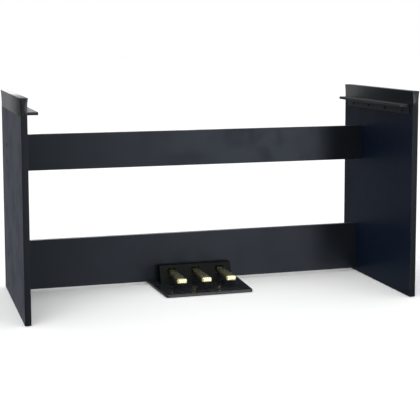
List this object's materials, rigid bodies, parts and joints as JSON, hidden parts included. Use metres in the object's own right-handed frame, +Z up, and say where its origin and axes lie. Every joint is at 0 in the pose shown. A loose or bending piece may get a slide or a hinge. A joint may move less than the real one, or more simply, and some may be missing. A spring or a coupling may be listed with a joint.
{
  "type": "digital piano stand",
  "caption": "Black furniture-style stand for a stage piano: side panels with coved caps and support brackets, back rails, and a gold three-pedal unit on a base plate.",
  "frame": {"origin": "centre of the stand's outer box, on the floor", "axes": "+X to the player's right, +Y to the back of the stand, +Z up; the pedals point to -Y"},
  "size_m": [1.386, 0.586, 0.733],
  "materials": {
    "panel_laminate": "satin black laminate on particle board",
    "edge_band": "satin",
    "cap_lacquer": "satin black lacquer on fibreboard",
    "rail_laminate": "satin black laminate on particle board",
    "bracket_paint": "black powder coat",
    "dowel_wood": "bare beech",
    "zinc_steel": "zinc plated",
    "bright_steel": "ground",
    "cover_plastic": "satin",
    "glide_nylon": "matt",
    "pad_rubber": "matt",
    "plate_plastic": "semi-gloss black",
    "housing_plastic": "satin black, finely textured",
    "chassis_steel": "zinc plated sheet",
    "bearing_plastic": "acetal",
    "pedal_brass": "polished, gold coloured",
    "spring_steel": "bright wire",
    "stop_felt": "dense wool felt",
    "circuit_board": "solder mask",
    "sensor_plastic": "matt",
    "lead_jacket": "satin"
  },
  "bodies": {
    "stand": {"left_side_panel": "panel_laminate", "right_side_panel": "panel_laminate", "panel_edge_bands": "edge_band", "panel_glides": "glide_nylon", "left_top_cap": "cap_lacquer", "right_top_cap": "cap_lacquer", "cap_dowels": "dowel_wood", "left_support_bracket": "bracket_paint", "right_support_bracket": "bracket_paint", "bracket_screws": "zinc_steel", "upper_rail": "rail_laminate", "lower_rail": "rail_laminate", "rail_dowels": "dowel_wood", "rail_bolts": "zinc_steel", "barrel_nuts": "zinc_steel", "bolt_covers": "cover_plastic", "pedal_base_plate": "plate_plastic", "plate_pads": "pad_rubber", "rail_screws": "zinc_steel", "pedal_housing": "housing_plastic", "housing_screws": "zinc_steel", "pedal_rear_cover": "housing_plastic", "rear_cover_screws": "zinc_steel", "pedal_chassis": "chassis_steel", "chassis_screws": "zinc_steel", "pedal_axle": "bright_steel", "axle_clips": "zinc_steel", "axle_spacers": "bearing_plastic", "soft_pedal_spring": "spring_steel", "sostenuto_pedal_spring": "spring_steel", "damper_pedal_spring": "spring_steel", "rest_felts": "stop_felt", "down_felts": "stop_felt", "sensor_board": "circuit_board", "pedal_sensors": "sensor_plastic", "pedal_socket": "sensor_plastic", "socket_lead": "lead_jacket"},
    "soft_pedal_lever": {"soft_pedal": "pedal_brass", "soft_pedal_bush": "bearing_plastic"},
    "sostenuto_pedal_lever": {"sostenuto_pedal": "pedal_brass", "sostenuto_pedal_bush": "bearing_plastic"},
    "damper_pedal_lever": {"damper_pedal": "pedal_brass", "damper_pedal_bush": "bearing_plastic"}
  },
  "joints": [
    {"name": "soft_pedal_hinge", "type": "hinge", "parent": "stand", "child": "soft_pedal_lever", "pos_m": [-0.093, 0.24, 0.046], "axis": [1, 0, 0], "range_deg": [0, 3.4], "stiffness_Nm_per_rad": 49, "springref_deg": -6.88, "deforming": ["soft_pedal_spring"]},
    {"name": "sostenuto_pedal_hinge", "type": "hinge", "parent": "stand", "child": "sostenuto_pedal_lever", "pos_m": [0, 0.24, 0.046], "axis": [1, 0, 0], "range_deg": [0, 3.4], "stiffness_Nm_per_rad": 49, "springref_deg": -6.88, "deforming": ["sostenuto_pedal_spring"]},
    {"name": "damper_pedal_hinge", "type": "hinge", "parent": "stand", "child": "damper_pedal_lever", "pos_m": [0.093, 0.24, 0.046], "axis": [1, 0, 0], "range_deg": [0, 3.4], "stiffness_Nm_per_rad": 49, "springref_deg": -6.88, "deforming": ["damper_pedal_spring"]}
  ]
}
